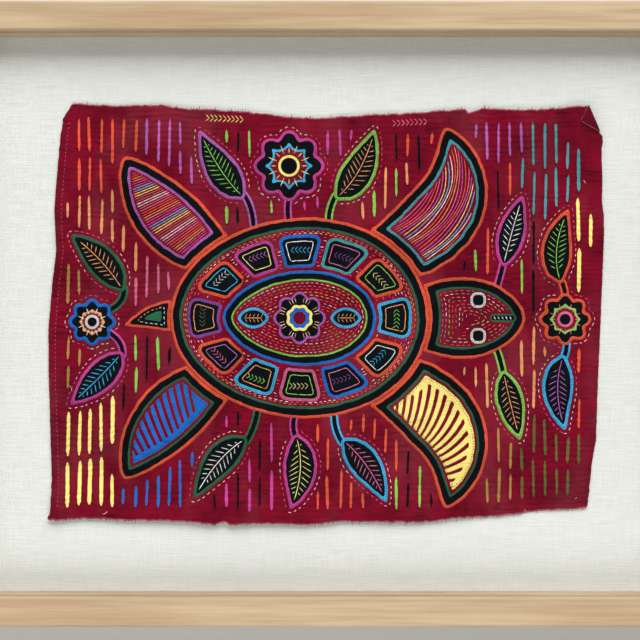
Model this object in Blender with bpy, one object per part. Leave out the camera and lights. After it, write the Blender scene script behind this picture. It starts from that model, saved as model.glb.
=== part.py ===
"""Framed mola panel: an appliqued cotton panel lying on a linen-covered board, in a glazed wooden frame.

Metres, +Z up. The panel lies face up: +X is the picture's right, +Y its top and z = 0 the back of the frame.
"""

import math

import bmesh
import bpy

MM = 0.001
GAP = 0.3 * MM

# Frame. Depths run inwards from a rail's outer edge, and heights up from its back.
SIGHT_WIDTH = 520 * MM
SIGHT_HEIGHT = 420 * MM
RAIL_WIDTH = 22 * MM
RAIL_HEIGHT = 30 * MM
REBATE_DEPTH = 8 * MM
REBATE_TOP = 7.8 * MM
GROOVE_DEPTH = 5 * MM
GROOVE_BOTTOM = 22.0 * MM
GROOVE_TOP = 24.6 * MM
OUTER_ROUNDING = 2.5 * MM
SIGHT_ROUNDING = 1.5 * MM
ROUNDING_STEPS = 4

# Board, linen and pane
BOARD_BOTTOM = 2.0 * MM
BOARD_THICKNESS = 4.0 * MM
LINEN_THICKNESS = 1.2 * MM
PANE_THICKNESS = 2.0 * MM
LINEN_TOP = BOARD_BOTTOM + BOARD_THICKNESS + GAP + LINEN_THICKNESS

# Mola cloth. Its layers share one net of triangles, so that they lie on each other without meeting.
CLOTH_THICKNESS = 1.0 * MM
PATCH_THICKNESS = 1.0 * MM
CLOTH_BOTTOM = LINEN_TOP + GAP
NET_WIDTH = 434 * MM
NET_HEIGHT = 336 * MM
NET_COLUMNS = 29
NET_ROWS = 23
FLAP_LIFT = 0.5 * MM
FOLD_WIDTH = 1.6 * MM
CUTTER_BOTTOM = -5 * MM
CUTTER_TOP = 40 * MM

# The cloth's cut edge, in millimetres from the panel's centre. Columns: x, y.
TOP_EDGE = [
    (-192.4, 159.8), (-177.3, 158.4), (-154.0, 157.5), (-125.1, 158.1), (-107.7, 155.4), (-65.1, 153.4),
    (-50.0, 151.5), (-23.5, 149.0), (-4.5, 147.8), (14.4, 149.3), (56.0, 151.5), (78.7, 152.9),
    (105.8, 155.2), (106.9, 151.5), (118.6, 155.4), (155.6, 154.3), (189.3, 156.9),
]
RIGHT_EDGE = [
    (197.8, 157.2), (206.1, 137.8), (208.9, 133.8), (208.4, 121.9), (209.1, 98.6), (208.8, 83.4),
    (210.1, 75.2), (210.4, 63.1), (209.1, 27.6), (208.2, 1.5), (206.1, -46.9), (204.4, -95.4),
    (203.5, -100.7), (201.1, -114.3), (199.5, -131.0),
]
BOTTOM_EDGE = [
    (197.7, -146.6), (156.7, -149.4), (146.9, -151.5), (116.6, -153.4), (95.4, -154.6), (86.3, -156.1),
    (67.4, -157.5), (10.6, -157.0), (-12.1, -159.3), (-52.2, -158.1), (-70.4, -159.7), (-77.2, -157.0),
    (-84.0, -159.0), (-110.5, -156.5), (-159.7, -155.4), (-187.0, -154.3), (-201.4, -155.8),
]
LEFT_EDGE = [
    (-210.5, -155.0), (-208.2, -148.4), (-207.5, -125.7), (-209.8, -50.0), (-210.0, -11.4), (-206.7, 25.7),
    (-203.9, 47.7), (-205.5, 78.7), (-203.9, 101.4), (-201.6, 127.4), (-199.3, 147.2),
]

# The corner that is turned over onto the face: the two ends of its fold and its tip. Columns: x, y, in mm.
FLAP_CORNERS = [(197.8, 157.2), (206.1, 137.8), (192.4, 145.7)]

# Soft ridges of the cloth. Columns in mm: x, y, heading in degrees, half length, half width, height.
RIDGES = [
    (-150, -158, 4, 80, 20, 2.2),
    (-40, -160, 0, 70, 18, 2.6),
    (70, -158, 2, 60, 16, 1.8),
    (-206, -152, 50, 26, 14, 2.4),
    (160, -100, 6, 55, 13, 1.4),
    (178, -128, 3, 40, 12, 1.2),
    (200, 146, 113, 34, 20, 2.8),
    (120, 152, 2, 70, 15, 1.0),
    (-70, 152, 176, 90, 15, 0.9),
    (-203, 20, 88, 110, 12, 1.5),
    (-150, -96, 4, 50, 13, 1.2),
    (-10, 10, 74, 140, 34, 1.3),
    (110, 20, 96, 110, 26, 1.2),
    (-110, 30, 100, 110, 24, 1.1),
    (206, 60, 90, 60, 14, 1.3),
]

# Turtle, in mm. The lower flippers are the upper ones mirrored on MIRROR_Y.
MIRROR_Y = -3.0
SHELL_CENTRE = (-20, MIRROR_Y)
SHELL_RADII = (98, 76)
SHELL_TAPER = 0.05
SHELL_STEPS = 56

# Limbs, each a blade along a curve, in mm. Columns: name, widest half width, start, skew, roundness, root,
# bend, tip, whether it has a mirrored twin. start and skew place the widest part.
LIMBS = [
    ("turtle_head", 31, 0.2, 1.35, 0.55, (56, -3), (104, -3), (151, -3), False),
    ("front_flipper", 30, 0.16, 0.95, 0.65, (34, 40), (122, 72), (90, 141), True),
    ("rear_flipper", 26, 0.16, 1.2, 0.65, (-74, 40), (-122, 62), (-153, 119), True),
    ("tail", 12, 0.4, 1.0, 0.9, (-106, -3), (-128, 2), (-153, -9), False),
]
LIMB_STEPS = 15

# Leaves, in mm. Columns: widest half width, root, bend, tip.
LEAVES = [
    (13, (-62, 88), (-80, 104), (-96, 139)),
    (13, (7, 87), (28, 104), (37, 140)),
    (12, (-60, -94), (-82, -106), (-100, -140)),
    (13, (-23, -91), (-14, -118), (-27, -148)),
    (12, (12, -95), (32, -110), (46, -143)),
    (12, (178, 23), (168, 48), (184, 80)),
    (12, (180, -31), (170, -56), (181, -88)),
    (12, (-153, 17), (-168, 42), (-193, 60)),
    (12, (-154, -29), (-170, -48), (-194, -69)),
    (11, (134, 36), (140, 62), (149, 90)),
    (11, (134, -43), (139, -68), (147, -96)),
]
LEAF_STEPS = 11
LEAF_START = 0.015
LEAF_SKEW = 0.85
LEAF_ROUNDNESS = 0.8

# Flowers. Columns: x, y, radius in mm.
FLOWERS = [
    (-28, 112, 27),
    (181, -4, 20),
    (-177, -6, 18),
]
PETALS = 8
PETAL_DEPTH = 0.2
FLOWER_STEPS = 48

# Colours (linear), roughness and metallic value of each finish
FINISHES = {
    "wood": ((0.62, 0.47, 0.31), 0.45, 0.0),
    "board": ((0.35, 0.26, 0.18), 0.8, 0.0),
    "linen": ((0.78, 0.77, 0.72), 0.9, 0.0),
    "glass": ((0.9, 0.95, 0.93), 0.03, 0.0),
    "red_cotton": ((0.22, 0.008, 0.022), 0.85, 0.0),
    "black_cotton": ((0.012, 0.014, 0.018), 0.85, 0.0),
}


def clear_scene():
    for old in list(bpy.data.objects):
        bpy.data.objects.remove(old, do_unlink=True)


def new_collection(name):
    made = bpy.data.collections.new(name)
    bpy.context.scene.collection.children.link(made)
    return made


def finish(name):
    """The named material, made on its first use."""
    if name in bpy.data.materials:
        return bpy.data.materials[name]
    colour, roughness, metallic = FINISHES[name]
    made = bpy.data.materials.new(name)
    made.use_nodes = True
    shader = made.node_tree.nodes["Principled BSDF"]
    shader.inputs["Base Color"].default_value = (*colour, 1.0)
    shader.inputs["Roughness"].default_value = roughness
    shader.inputs["Metallic"].default_value = metallic
    made.diffuse_color = (*colour, 1.0)
    return made


def add_object(name, mesh, collection, finish_name=None):
    made = bpy.data.objects.new(name, mesh)
    collection.objects.link(made)
    if finish_name:
        made.data.materials.clear()
        made.data.materials.append(finish(finish_name))
    return made


def arc(centre, radius, start, end):
    """Points on a rounded corner, from one heading in degrees to another."""
    x, y = centre
    return [
        (
            x + radius * math.cos(math.radians(start + (end - start) * step / ROUNDING_STEPS)),
            y + radius * math.sin(math.radians(start + (end - start) * step / ROUNDING_STEPS)),
        )
        for step in range(ROUNDING_STEPS + 1)
    ]


def rail_profile():
    """A rail's section: a rebate at the back for the board and a groove under the lip for the pane."""
    rebate = RAIL_WIDTH - REBATE_DEPTH
    groove = RAIL_WIDTH - GROOVE_DEPTH
    sight_corner = (RAIL_WIDTH - SIGHT_ROUNDING, RAIL_HEIGHT - SIGHT_ROUNDING)
    outer_corner = (OUTER_ROUNDING, RAIL_HEIGHT - OUTER_ROUNDING)
    return [
        (0, 0),
        (rebate, 0),
        (rebate, REBATE_TOP),
        (RAIL_WIDTH, REBATE_TOP),
        (RAIL_WIDTH, GROOVE_BOTTOM),
        (groove, GROOVE_BOTTOM),
        (groove, GROOVE_TOP),
        (RAIL_WIDTH, GROOVE_TOP),
        *arc(sight_corner, SIGHT_ROUNDING, 0, 90),
        *arc(outer_corner, OUTER_ROUNDING, 90, 180),
    ]


def rail(name, length, distance, turn, collection):
    """One mitred rail. length is its outer edge's, distance the outer edge's from the centre."""
    mesh = bpy.data.meshes.new(name)
    shape = bmesh.new()
    face = shape.faces.new([shape.verts.new((0, depth, height)) for depth, height in rail_profile()])
    swept = bmesh.ops.extrude_face_region(shape, geom=[face])
    far_end = {item for item in swept["geom"] if isinstance(item, bmesh.types.BMVert)}
    for vert in shape.verts:
        mitred = length / 2 - vert.co.y - GAP
        vert.co.x = mitred if vert in far_end else -mitred
    bmesh.ops.recalc_face_normals(shape, faces=shape.faces[:])
    shape.to_mesh(mesh)
    shape.free()
    made = add_object(name, mesh, collection, "wood")
    made.location = (distance * math.sin(turn), -distance * math.cos(turn), 0)
    made.rotation_euler = (0, 0, turn)
    return made


def slab(name, width, height, bottom, thickness, finish_name, collection):
    """A flat rectangular piece, from a cube primitive."""
    bpy.ops.mesh.primitive_cube_add(size=1, location=(0, 0, bottom + thickness / 2))
    made = bpy.context.active_object
    made.name = made.data.name = name
    made.scale = (width, height, thickness)
    bpy.ops.object.transform_apply(location=False, rotation=False, scale=True)
    for home in list(made.users_collection):
        home.objects.unlink(made)
    collection.objects.link(made)
    made.data.materials.append(finish(finish_name))
    return made


def cloth_height(x, y):
    """How far the cloth stands off the linen at a place, in metres: the sum of its soft ridges."""
    total = 0.0
    for centre_x, centre_y, heading, half_length, half_width, height in RIDGES:
        turn = math.radians(heading)
        dx, dy = x / MM - centre_x, y / MM - centre_y
        along = dx * math.cos(turn) + dy * math.sin(turn)
        across = dy * math.cos(turn) - dx * math.sin(turn)
        total += height * math.exp(-((along / half_length) ** 2) - (across / half_width) ** 2)
    return total * MM


def cloth_layer(name, low, high):
    """The whole net as a closed layer, from low to high above the cloth's underside."""
    mesh = bpy.data.meshes.new(name)
    shape = bmesh.new()
    bmesh.ops.create_grid(shape, x_segments=NET_COLUMNS, y_segments=NET_ROWS, size=0.5)
    bmesh.ops.triangulate(shape, faces=shape.faces[:], quad_method="FIXED")
    for vert in shape.verts:
        vert.co.x *= NET_WIDTH
        vert.co.y *= NET_HEIGHT
        vert.co.z = CLOTH_BOTTOM + low + cloth_height(vert.co.x, vert.co.y)
    raised = bmesh.ops.extrude_face_region(shape, geom=shape.faces[:])
    for item in raised["geom"]:
        if isinstance(item, bmesh.types.BMVert):
            item.co.z += high - low
    bmesh.ops.recalc_face_normals(shape, faces=shape.faces[:])
    shape.to_mesh(mesh)
    shape.free()
    return mesh


def prism(name, outline, collection):
    """An upright cutter with the outline, in metres, that keeps or removes what lies inside it."""
    mesh = bpy.data.meshes.new(name)
    shape = bmesh.new()
    face = shape.faces.new([shape.verts.new((x, y, CUTTER_BOTTOM)) for x, y in outline])
    raised = bmesh.ops.extrude_face_region(shape, geom=[face])
    for item in raised["geom"]:
        if isinstance(item, bmesh.types.BMVert):
            item.co.z = CUTTER_TOP
    bmesh.ops.recalc_face_normals(shape, faces=shape.faces[:])
    shape.to_mesh(mesh)
    shape.free()
    made = add_object(name, mesh, collection)
    made.hide_render = True
    made.display_type = "WIRE"
    return made


def cut(target, cutter, operation):
    step = target.modifiers.new(f"{operation.lower()} {cutter.name}", "BOOLEAN")
    step.operation = operation
    step.object = cutter


def in_metres(points):
    return [(x * MM, y * MM) for x, y in points]


def mirrored(point):
    return (point[0], 2 * MIRROR_Y - point[1])


def oval(centre, radii, taper, grow=0.0):
    """An egg-shaped outline in mm. taper widens its right end, and grow moves it outwards."""
    points = []
    for step in range(SHELL_STEPS):
        angle = 2 * math.pi * step / SHELL_STEPS
        width = (radii[1] + grow) * (1 + taper * math.cos(angle))
        points.append((centre[0] + (radii[0] + grow) * math.cos(angle), centre[1] + width * math.sin(angle)))
    return points


def blade(widest, start, skew, roundness, root, bend, tip, steps):
    """An outline in mm along a curve from root to tip, its half width a part of a sine wave."""
    left, right = [], []
    for step in range(steps):
        share = math.sin(math.pi / 2 * step / steps)
        rest = 1 - share
        x, y = (rest**2 * a + 2 * rest * share * b + share**2 * c for a, b, c in zip(root, bend, tip))
        dx, dy = (rest * (b - a) + share * (c - b) for a, b, c in zip(root, bend, tip))
        wave = math.sin(math.pi * (start + (1 - start) * share) ** skew)
        width = widest * wave**roundness / math.hypot(dx, dy)
        left.append((x - dy * width, y + dx * width))
        right.append((x + dy * width, y - dx * width))
    return right + [tip] + left[::-1]


def flower(x, y, radius):
    """A scalloped round outline in mm."""
    points = []
    for step in range(FLOWER_STEPS):
        angle = 2 * math.pi * step / FLOWER_STEPS
        reach = radius * (1 - PETAL_DEPTH * (1 - abs(math.cos(PETALS * angle / 2))))
        points.append((x + reach * math.cos(angle), y + reach * math.sin(angle)))
    return points


def build_frame(collection):
    outer_width = SIGHT_WIDTH + 2 * RAIL_WIDTH
    outer_height = SIGHT_HEIGHT + 2 * RAIL_WIDTH
    quarter = math.pi / 2
    rail("rail_bottom", outer_width, outer_height / 2, 0, collection)
    rail("rail_right", outer_height, outer_width / 2, quarter, collection)
    rail("rail_top", outer_width, outer_height / 2, 2 * quarter, collection)
    rail("rail_left", outer_height, outer_width / 2, 3 * quarter, collection)


def build_mount(collection):
    """The board, the linen stretched over its face, and the pane in the rails' groove."""
    hidden = 2 * (REBATE_DEPTH - GAP)
    width, height = SIGHT_WIDTH + hidden, SIGHT_HEIGHT + hidden
    slab("backing_board", width, height, BOARD_BOTTOM, BOARD_THICKNESS, "board", collection)
    slab("linen_mount", width, height, LINEN_TOP - LINEN_THICKNESS, LINEN_THICKNESS, "linen", collection)
    held = 2 * (GROOVE_DEPTH - GAP)
    width, height = SIGHT_WIDTH + held, SIGHT_HEIGHT + held
    pane_bottom = (GROOVE_BOTTOM + GROOVE_TOP - PANE_THICKNESS) / 2
    slab("glass_pane", width, height, pane_bottom, PANE_THICKNESS, "glass", collection)


def strip(start, end, width):
    """A narrow outline along the line from start to end, on its left side."""
    dx, dy = end[0] - start[0], end[1] - start[1]
    length = math.hypot(dx, dy)
    over = (-dy / length * width, dx / length * width)
    return [start, end, (end[0] + over[0], end[1] + over[1]), (start[0] + over[0], start[1] + over[1])]


def build_cloth(collection, cutters):
    """The panel's cloth, one piece with the corner that is turned over."""
    flap_bottom = CLOTH_THICKNESS + FLAP_LIFT
    flap_top = flap_bottom + CLOTH_THICKNESS
    flap = add_object("flap_layer", cloth_layer("flap_layer", flap_bottom, flap_top), cutters)
    cut(flap, prism("flap_outline", in_metres(reversed(FLAP_CORNERS)), cutters), "INTERSECT")
    fold = add_object("fold_layer", cloth_layer("fold_layer", 0, flap_top), cutters)
    crease = strip(*in_metres(FLAP_CORNERS[:2]), -FOLD_WIDTH)
    cut(fold, prism("fold_outline", crease, cutters), "INTERSECT")
    cloth = add_object("mola_cloth", cloth_layer("mola_cloth", 0, CLOTH_THICKNESS), collection, "red_cotton")
    outline = in_metres(TOP_EDGE + RIGHT_EDGE + BOTTOM_EDGE + LEFT_EDGE)
    cut(cloth, prism("cloth_outline", outline, cutters), "INTERSECT")
    for layer in (fold, flap):
        layer.hide_render = True
        layer.display_type = "WIRE"
        cut(cloth, layer, "UNION")


def build_patches(collection, cutters):
    """The patches sewn on the cloth, all cut from one layer just above it."""
    low = CLOTH_THICKNESS + GAP
    layer = cloth_layer("patch_layer", low, low + PATCH_THICKNESS)
    layer.materials.append(finish("black_cotton"))

    def patch(name, outline):
        made = add_object(name, layer, collection)
        cut(made, prism(f"{name}_outline", in_metres(outline), cutters), "INTERSECT")
        return made

    patch("turtle_shell", oval(SHELL_CENTRE, SHELL_RADII, SHELL_TAPER))
    clearance = in_metres(oval(SHELL_CENTRE, SHELL_RADII, SHELL_TAPER, GAP / MM))
    shell_room = prism("shell_room", clearance, cutters)
    for name, *shape, root, bend, tip, twin in LIMBS:
        upper = patch(f"{name}_upper" if twin else name, blade(*shape, root, bend, tip, LIMB_STEPS))
        cut(upper, shell_room, "DIFFERENCE")
        if twin:
            turned = [mirrored(point) for point in (root, bend, tip)]
            lower = patch(f"{name}_lower", blade(*shape, *turned, LIMB_STEPS))
            cut(lower, shell_room, "DIFFERENCE")
    for number, (widest, *curve) in enumerate(LEAVES, 1):
        outline = blade(widest, LEAF_START, LEAF_SKEW, LEAF_ROUNDNESS, *curve, LEAF_STEPS)
        patch(f"leaf_{number}", outline)
    for number, (x, y, radius) in enumerate(FLOWERS, 1):
        patch(f"flower_{number}", flower(x, y, radius))


def main():
    clear_scene()
    panel = new_collection("framed_mola_panel")
    cutters = new_collection("cutters")
    build_frame(panel)
    build_mount(panel)
    build_cloth(panel, cutters)
    build_patches(panel, cutters)


main()
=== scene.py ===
# %% [markdown]
# # Framed mola panel
# This notebook dresses a plain model of a framed textile. The picture lies face up: +X is its right, +Y its
# top and +Z comes out of its face. A mola is made of thin cotton layers. Each layer is cut through or cut
# out, folded under and stitched down, so the colours meet in narrow lines that follow every shape.
#
# The plan is to hold every motif as a field, a grid of numbers that says how deep inside its outline each
# place is. One grid then gives the bands of colour, the padded relief and the lines of stitches.

import math

import bpy
import numpy as np
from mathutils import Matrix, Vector


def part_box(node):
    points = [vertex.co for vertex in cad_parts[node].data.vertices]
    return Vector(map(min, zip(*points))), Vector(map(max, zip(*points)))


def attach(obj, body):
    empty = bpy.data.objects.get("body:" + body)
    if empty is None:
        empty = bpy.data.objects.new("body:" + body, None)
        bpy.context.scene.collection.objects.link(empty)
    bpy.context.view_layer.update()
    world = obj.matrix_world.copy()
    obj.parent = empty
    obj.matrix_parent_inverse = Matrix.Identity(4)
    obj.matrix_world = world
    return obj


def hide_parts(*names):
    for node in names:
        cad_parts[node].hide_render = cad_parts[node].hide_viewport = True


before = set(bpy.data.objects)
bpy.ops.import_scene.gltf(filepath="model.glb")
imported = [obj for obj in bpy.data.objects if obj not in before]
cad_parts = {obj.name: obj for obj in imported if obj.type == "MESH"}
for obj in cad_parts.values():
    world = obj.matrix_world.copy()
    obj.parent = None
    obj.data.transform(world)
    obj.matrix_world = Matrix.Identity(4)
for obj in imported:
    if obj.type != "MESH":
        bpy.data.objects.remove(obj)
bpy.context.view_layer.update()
MM = 0.001
print("nodes:", ", ".join(sorted(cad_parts)))

# %% [markdown]
# ## Helpers
# Most of this object is cloth and thread, thousands of small pieces that follow each other's curves. They
# could be pulled into shape one by one, but numbers place them evenly and all at once. So new meshes come in
# as arrays of points in millimetres, because cloth sizes are easier to read that way. Each piece rides on
# the model's one body.

# %% Make pieces from arrays


def add_piece(name, points, faces, materials, paint=None):
    """A piece from points in millimetres, with a list of materials and a material number per face."""
    mesh = bpy.data.meshes.new(name)
    mesh.from_pydata((np.asarray(points) * MM).tolist(), [], [list(map(int, face)) for face in faces])
    for material in materials:
        mesh.materials.append(material)
    if paint is not None:
        mesh.polygons.foreach_set("material_index", np.asarray(paint, np.int32))
    mesh.polygons.foreach_set("use_smooth", [True] * len(mesh.polygons))
    mesh.update()
    piece = bpy.data.objects.new(name, mesh)
    bpy.context.scene.collection.objects.link(piece)
    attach(piece, "root")
    return piece


def quads(rows, columns, first=0):
    """Four-sided faces between points that are stored row by row, the first row lowest."""
    corners = [first + r * columns + c for r in range(rows - 1) for c in range(columns - 1)]
    return [(a, a + 1, a + columns + 1, a + columns) for a in corners]


def noise(x, y, size_x, size_y, seed):
    """Smooth random heights from -1 to 1, whose bumps are about size_x by size_y."""
    u, v = np.asarray(x) / size_x, np.asarray(y) / size_y
    i, j = np.floor(u).astype(int), np.floor(v).astype(int)
    u, v = u - i, v - j
    u, v = u * u * (3 - 2 * u), v * v * (3 - 2 * v)
    table = np.random.default_rng(seed).uniform(-1, 1, (128, 128))
    near = table[i % 128, j % 128] * (1 - u) + table[(i + 1) % 128, j % 128] * u
    far = table[i % 128, (j + 1) % 128] * (1 - u) + table[(i + 1) % 128, (j + 1) % 128] * u
    return near * (1 - v) + far * v


# %% [markdown]
# ## Materials
# Colours are picked as sRGB hex and turned into the linear values that shaders use. A picture of real cloth
# would also give a finish, but patterns made by nodes stay sharp at any size and need no other file. A
# pattern's scale says how often it repeats in a metre, so 1000 divided by it is its size in millimetres. All
# patterns read Object coordinates, so they stay on the cloth however the camera moves.

# %% Colours and nodes


def linear(code):
    """An sRGB hex colour as the linear values that a shader uses."""
    values = [int(code[place : place + 2], 16) / 255 for place in (0, 2, 4)]
    return [v / 12.92 if v <= 0.04045 else ((v + 0.055) / 1.055) ** 2.4 for v in values] + [1.0]


def shade(code, factor):
    """A lighter or darker form of a hex colour."""
    values = [int(code[place : place + 2], 16) for place in (0, 2, 4)]
    return "".join(f"{max(0, min(255, round(v * factor))):02X}" for v in values)


def wire(node, inputs):
    """Sets a node's inputs, or links those that are given as another node's output."""
    for key, value in (inputs.items() if isinstance(inputs, dict) else enumerate(inputs)):
        if isinstance(value, bpy.types.NodeSocket):
            node.id_data.links.new(value, node.inputs[key])
        else:
            node.inputs[key].default_value = value


def add(tree, kind, inputs, out=0, **settings):
    """Adds a node with its settings and links, and gives back one of its outputs."""
    node = tree.nodes.new(f"ShaderNode{kind}")
    for key, value in settings.items():
        setattr(node, key, value)
    wire(node, inputs)
    return node.outputs[out]


def begin(name):
    """A new material, its node tree, its shader and the coordinates that its patterns read."""
    material = bpy.data.materials.new(name)
    material.use_nodes = True
    tree = material.node_tree
    return material, tree, tree.nodes["Principled BSDF"], add(tree, "TexCoord", {}, "Object")


# %% [markdown]
# Most finishes start from one of two patterns. Fading, fuzz and grain are mottled: a noise that is drawn out
# to run from nothing to its most between two of its values, and stretched where its marks are long. A weave
# is two crossed waves, warp and weft, which go over each other by turns.

# %% Patterns


def mottled(tree, place, repeats, detail, roughness, low, high, most=1.0):
    """Soft marks that repeat so many times a metre, in all directions or along each axis."""
    if isinstance(repeats, tuple):
        place, repeats = add(tree, "Mapping", {"Vector": place, "Scale": repeats}), 1.0
    marks = {"Vector": place, "Scale": repeats, "Detail": detail, "Roughness": roughness}
    marks = add(tree, "TexNoise", marks, "Fac")
    return add(tree, "MapRange", [marks, low, high, 0.0, most], interpolation_type="SMOOTHSTEP")


def tinted(tree, base, tones):
    """A base colour under other tones, each of which shows as much as its own pattern says."""
    colour = linear(base)
    for share, tone in tones:
        colour = add(tree, "Mix", {0: share, 6: colour, 7: linear(tone)}, 2, data_type="RGBA")
    return colour


def woven(tree, place, pitch, wander):
    """Height of a plain weave of a pitch in metres, whose threads wander by a share of it."""
    drift = add(tree, "TexNoise", {"Vector": place, "Scale": 0.12 / pitch, "Detail": 2.0}, "Color")
    drift = add(tree, "VectorMath", {0: drift, "Scale": pitch * wander * 4}, operation="SCALE")
    moved = add(tree, "VectorMath", [place, drift], operation="ADD")
    axes = add(tree, "SeparateXYZ", [moved]).node.outputs
    turns = [add(tree, "Math", [axes[axis], math.pi / pitch], operation="MULTIPLY") for axis in (0, 1)]
    waves = [add(tree, "Math", [turn], operation="SINE") for turn in turns]
    over = add(tree, "Math", waves, operation="MULTIPLY")
    return add(tree, "Math", [over, 0.5, 0.5], operation="MULTIPLY_ADD")


# %% [markdown]
# ### Cotton and thread
# The panel is thin plain-woven cotton, dyed and washed many times. It is matt, so the eye finds its threads,
# its paler streaks along the weft, the blotches where the dye has gone and the creases that never iron out.
# Along the creases and in the weave the colour is darkened as painted shade. The sewing thread is twisted
# cotton, whose twist gives it a slight sheen.

# %% Cotton and thread finishes


def cotton(name, code, light=1.06, dark=0.84, creased=0.25, faded=0.0):
    """Plain-woven dyed cotton between a light and a dark form of its colour."""
    material, tree, shader, place = begin(name)
    code = shade(code, 0.93)
    # Blotches of about 22 mm, where the dye has gone.
    blotch = mottled(tree, place, 45, 5.0, 0.62, 0.3, 0.7)
    # Streaks along the weft, 1 mm wide and 7 mm long.
    streak = mottled(tree, place, (150, 1000, 1), 3.0, 0.6, 0.42, 0.75, most=0.35)
    # Creases about 5 mm apart, the lines where a stretched noise has its middle value. They come and go.
    # They dip the bump, and the colour along them is darkened as painted shade.
    wave = add(tree, "Mapping", {"Vector": place, "Scale": (30, 190, 1), "Rotation": (0, 0, 0.03)})
    wave = add(tree, "TexNoise", {"Vector": wave, "Scale": 1.0, "Detail": 2.0}, "Fac")
    away = add(tree, "Math", [add(tree, "Math", [wave, 0.5], operation="SUBTRACT")], operation="ABSOLUTE")
    line = add(tree, "MapRange", [away, 0.0, 0.03, 1.0, 0.0], interpolation_type="SMOOTHSTEP")
    crease = add(tree, "Math", [line, mottled(tree, place, 60, 2.0, 0.5, 0.42, 0.62)], operation="MULTIPLY")
    # Painted shade along the creases.
    crease_shade = add(tree, "Math", [crease, creased], operation="MULTIPLY")
    tones = [
        (blotch, shade(code, light)),
        (streak, shade(code, light * 1.15)),
        (crease_shade, shade(code, dark * 0.55)),
    ]
    if faded:
        # Places 50 to 100 mm across that are worn to a dusty pink.
        tones.append((mottled(tree, place, (20.8, 10.4, 13), 3.0, 0.6, 0.45, 0.65, most=faded), "B0606A"))
    # The weave, at its real pitch of 0.42 mm, and the fuzz on it, about 1 mm.
    weave = woven(tree, place, 0.00042, 0.35)
    # Painted shade of the weave: the cloth is darkened in the weave's checked pattern.
    weave_shade = add(tree, "MapRange", [weave, 0.0, 1.0, 0.0, 0.22], interpolation_type="SMOOTHSTEP")
    tones.append((weave_shade, shade(code, dark * 0.7)))
    fuzz = add(tree, "TexNoise", {"Vector": place, "Scale": 900, "Detail": 3.0}, "Fac")
    height = add(tree, "Math", [weave, fuzz], operation="ADD")
    height = add(tree, "Math", [crease, -6 * creased, height], operation="MULTIPLY_ADD")
    normal = add(tree, "Bump", {"Height": height, "Strength": 0.35, "Distance": 0.00012})
    roughness = add(tree, "MapRange", [blotch, 0.0, 1.0, 0.9, 0.8], interpolation_type="SMOOTHSTEP")
    colour = tinted(tree, shade(code, dark), tones)
    wire(shader, {"Base Color": colour, "Roughness": roughness, "Normal": normal})
    wire(shader, {"Sheen Weight": 0.03, "Specular IOR Level": 0.08})
    return material


def floss(name, code):
    """Twisted cotton thread, mottled every 2 mm, with its twist as a fine bump."""
    material, tree, shader, place = begin(name)
    tone = mottled(tree, place, 420, 3.0, 0.5, 0.3, 0.7)
    colour = tinted(tree, shade(code, 0.8), [(tone, shade(code, 1.1))])
    twist = add(tree, "TexNoise", {"Vector": place, "Scale": 2600, "Detail": 2.0}, "Fac")
    normal = add(tree, "Bump", {"Height": twist, "Strength": 0.4, "Distance": 0.00015})
    wire(shader, {"Base Color": colour, "Normal": normal, "Roughness": 0.6, "Sheen Weight": 0.1})
    return material


# %% [markdown]
# The layers and threads have the bright, slightly faded colours of such panels. Red and black cover most of
# it, so they get stronger creases of their own, and the red is worn in places. The yellow is the least faded.

# %% Cloth and thread colours
COLOURS = {
    "red": "7C0A25",
    "black": "0B0F13",
    "orange": "F05E3E",
    "green": "2F6B4A",
    "blue": "1E72D2",
    "yellow": "FFE480",
    "cyan": "42B4EA",
    "magenta": "CF4A9E",
    "orchid": "B866B8",
    "purple": "8A4A9E",
    "lime": "8FD05A",
    "ochre": "B08A48",
    "peach": "EFA068",
    "olive": "6A6B38",
    "white": "EBE9E2",
    "turquoise": "4FA3AB",
    "pink": "DE6C93",
    "rose": "B5606C",
}
# The light and dark factors of a cloth, how creased it is and how worn.
WEAR = {"red": (1.1, 0.82, 0.6, 0.1), "black": (1.3, 0.7, 0.25), "yellow": (1.12, 0.97)}
CLOTHS = {name: cotton(f"cotton_{name}", code, *WEAR.get(name, ())) for name, code in COLOURS.items()}
FLOSSES = {name: floss(f"thread_{name}", code) for name, code in COLOURS.items()}
print(len(CLOTHS), "cottons and as many threads")

# %% [markdown]
# ## The grid
# Every field lives on one grid of 0.8 mm steps over the cloth. A motif could be a curve that is filled, but a
# field also tells how far each place is from the edge, and every line on such a panel runs beside an edge. An
# outline is read from the plain model: its upward faces are taken, and the edges that only one of them uses
# are chained into a loop.

# %% Grid and outlines
STEP = 0.8
GRID_X = np.arange(-214, 214.1, STEP)
GRID_Y = np.arange(-164, 164.1, STEP)
X, Y = np.meshgrid(GRID_X, GRID_Y)


def cell(x, y):
    """The row and column of the grid's place that is nearest."""
    row = np.clip(np.rint((y - GRID_Y[0]) / STEP).astype(int), 0, len(GRID_Y) - 1)
    return row, np.clip(np.rint((x - GRID_X[0]) / STEP).astype(int), 0, len(GRID_X) - 1)


def chained(edges):
    """Loops of points from directed edges, longest first."""
    following = dict(edges)
    loops = []
    while following:
        start, here = following.popitem()
        loop = [start]
        while here in following:
            loop.append(here)
            here = following.pop(here)
        loops.append(loop)
    return sorted(loops, key=len, reverse=True)


def outline_of(node, up=1):
    """The outline of a node's upward or downward faces in millimetres."""
    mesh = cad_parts[node].data
    spots = [tuple(round(value / MM, 3) for value in vert.co) for vert in mesh.vertices]
    uses = {}
    for polygon in mesh.polygons:
        if polygon.normal.z * up > 0.5:
            corners = [spots[number] for number in polygon.vertices]
            for a, b in zip(corners, corners[1:] + corners[:1]):
                uses[a, b] = True
    edges = [edge for edge in uses if edge[::-1] not in uses]
    return np.array(chained(edges)[0])[:, :2]


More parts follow.
